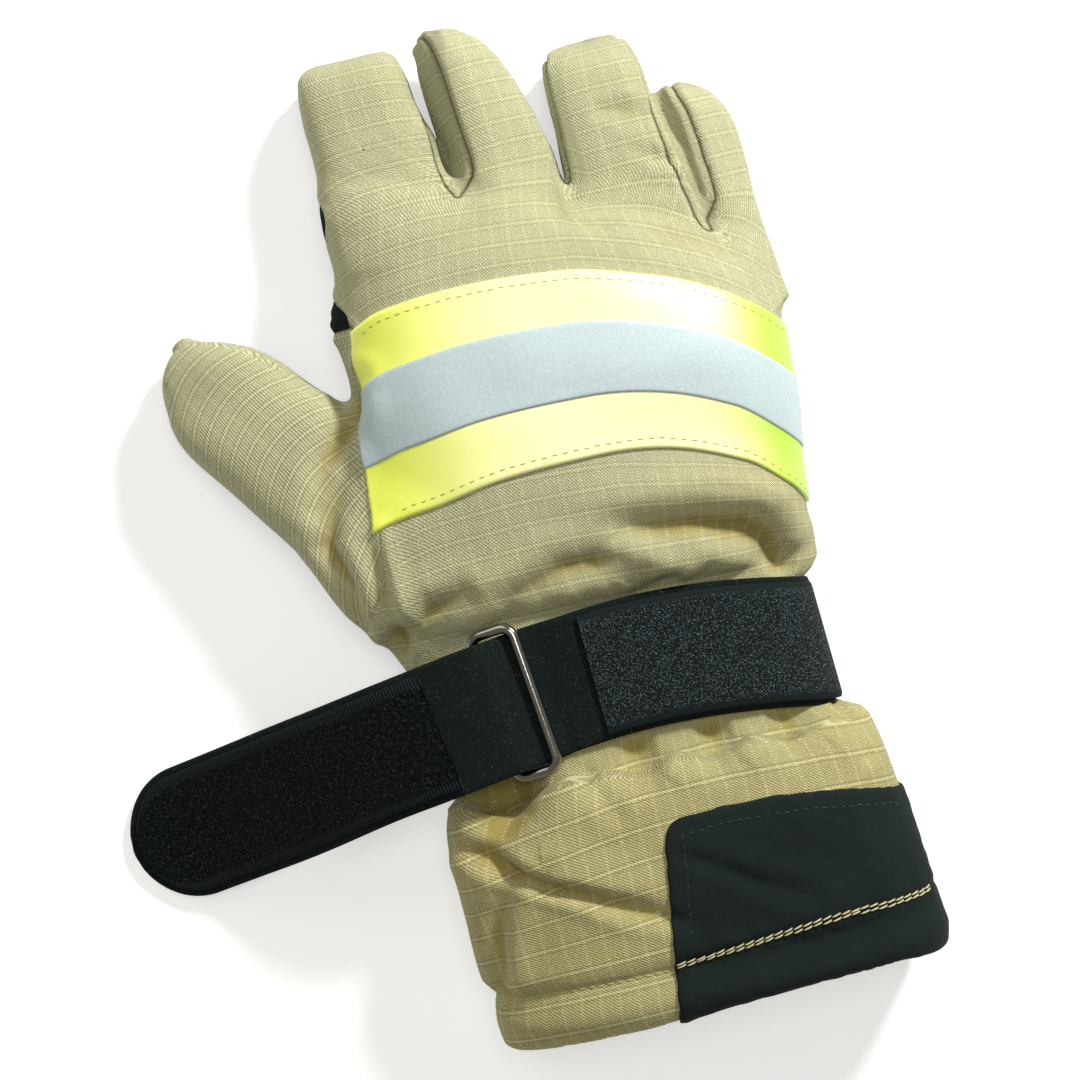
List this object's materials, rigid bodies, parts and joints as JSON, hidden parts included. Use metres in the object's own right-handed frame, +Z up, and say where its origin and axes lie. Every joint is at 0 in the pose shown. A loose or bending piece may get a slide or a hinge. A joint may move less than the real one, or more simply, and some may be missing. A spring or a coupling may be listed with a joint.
{
  "type": "firefighter glove",
  "caption": "Cloth and leather protective glove with a long cuff, a reflective band over the hand and a wrist strap threaded through a steel ring.",
  "frame": {"origin": "on the surface that the glove lies on, under the middle of the palm", "axes": "+Y to the fingertips, +X to the little finger's side, +Z up out of the back of the hand"},
  "size_m": [0.2204, 0.2845, 0.0517],
  "materials": {
    "cloth": "ripstop twill, matt",
    "leather": "black suede side out",
    "suede": "black suede, matt",
    "lime_tape": "fluorescent, smooth",
    "silver_tape": "glass bead reflective",
    "hook": "hook tape, slight sheen",
    "pile": "brushed loop tape",
    "steel": "dark nickel, bright"
  },
  "bodies": {
    "root": {"hand_back": "cloth", "palm": "leather", "forchette_index_middle": "cloth", "forchette_middle_ring": "cloth", "forchette_ring_little": "cloth", "thumb_back": "cloth", "thumb_palm": "leather", "cuff": "cloth", "tape_lime": "lime_tape", "tape_silver": "silver_tape", "wrist_strap": "suede", "hook_patch": "hook", "pile_patch": "pile", "buckle_ring": "steel", "ring_tab": "suede", "cuff_patch": "suede"}
  },
  "joints": []
}
